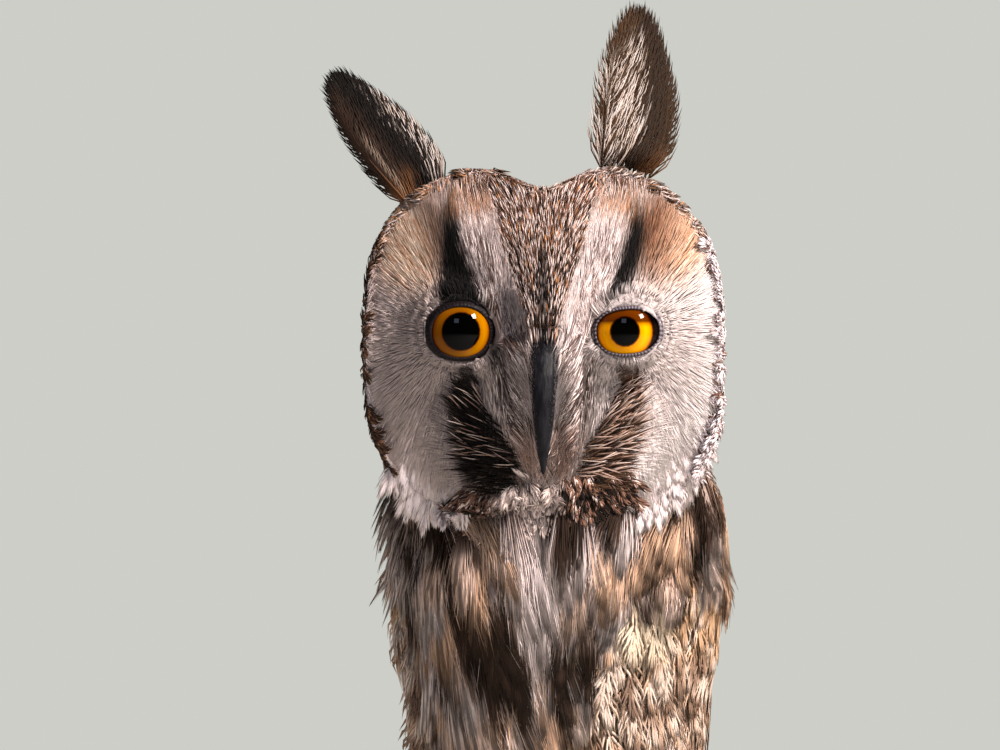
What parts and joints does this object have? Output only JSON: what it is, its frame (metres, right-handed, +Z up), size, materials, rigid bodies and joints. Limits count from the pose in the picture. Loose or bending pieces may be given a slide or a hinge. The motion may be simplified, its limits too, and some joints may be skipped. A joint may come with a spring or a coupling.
{
  "type": "long eared owl",
  "caption": "Life-size long-eared owl standing upright with raised ear tufts, head facing ahead over a turned body, gripping a cut branch held by a flat-based display stand.",
  "frame": {"origin": "centre of the underside of the display stand's base", "axes": "+Z up, the head faces -Y, +X is the owl's left"},
  "size_m": [0.184, 0.184, 0.412],
  "materials": {
    "plumage": "soft barred and streaked feathers",
    "face_plumage": "fine hair-like feathers",
    "tuft_plumage": "dark feathers with pale edges",
    "flight_plumage": "smooth barred vanes",
    "leg_plumage": "short buff down",
    "eye": "wet and clear over an orange iris",
    "horn": "smooth black horn",
    "bark": "rough bark with sawn ends",
    "plinth": "dark satin lacquer",
    "rod": "brushed"
  },
  "bodies": {
    "root": {"head": "face_plumage", "neck": "plumage", "torso": "plumage", "ear_tuft_right": "tuft_plumage", "ear_tuft_left": "tuft_plumage", "bill_upper": "horn", "bill_lower": "horn", "eye_right": "eye", "eye_left": "eye", "leg_right": "leg_plumage", "foot_right": "leg_plumage", "claw_right_inner": "horn", "claw_right_middle": "horn", "claw_right_outer": "horn", "claw_right_hind": "horn", "leg_left": "leg_plumage", "foot_left": "leg_plumage", "claw_left_inner": "horn", "claw_left_middle": "horn", "claw_left_outer": "horn", "claw_left_hind": "horn", "wing_right": "flight_plumage", "wing_left": "flight_plumage", "tail": "flight_plumage", "stand_base": "plinth", "stand_rod_right": "rod", "stand_rod_left": "rod", "perch": "bark"}
  },
  "joints": []
}
